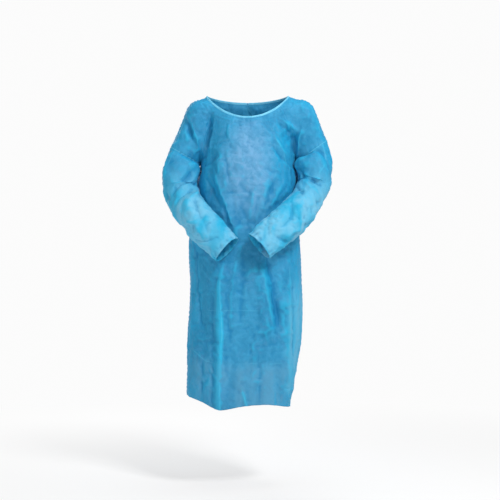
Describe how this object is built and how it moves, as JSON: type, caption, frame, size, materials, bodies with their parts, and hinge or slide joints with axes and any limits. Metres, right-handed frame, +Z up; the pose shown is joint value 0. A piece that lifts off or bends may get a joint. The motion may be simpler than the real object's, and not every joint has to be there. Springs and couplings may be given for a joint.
{
  "type": "isolation gown",
  "caption": "Disposable nonwoven isolation gown in its worn form, long sleeves bent to the front, round bound neck, open lapped back with ties.",
  "frame": {"origin": "midway between the tops of the shoulders, where the wearer's shoulders carry the gown", "axes": "+Z up, the front of the gown faces -Y, +X towards the wearer's left"},
  "size_m": [0.6156, 0.3831, 1.1294],
  "materials": {
    "gown_cloth": "matt spunbonded nonwoven with a faint embossed grain",
    "binding": "matt narrow folded strip, paler than the gown"
  },
  "bodies": {
    "root": {"front_panel": "gown_cloth", "back_panel_right": "gown_cloth", "back_panel_left": "gown_cloth", "sleeve_right": "gown_cloth", "sleeve_left": "gown_cloth", "neck_binding": "binding", "neck_knot": "gown_cloth", "neck_loop_right": "gown_cloth", "neck_loop_left": "gown_cloth", "neck_tail_right": "gown_cloth", "neck_tail_left": "gown_cloth", "waist_knot": "gown_cloth", "waist_loop_right": "gown_cloth", "waist_loop_left": "gown_cloth", "waist_tail_right": "gown_cloth", "waist_tail_left": "gown_cloth", "waist_tie_right": "gown_cloth", "waist_tie_left": "gown_cloth"}
  },
  "joints": []
}
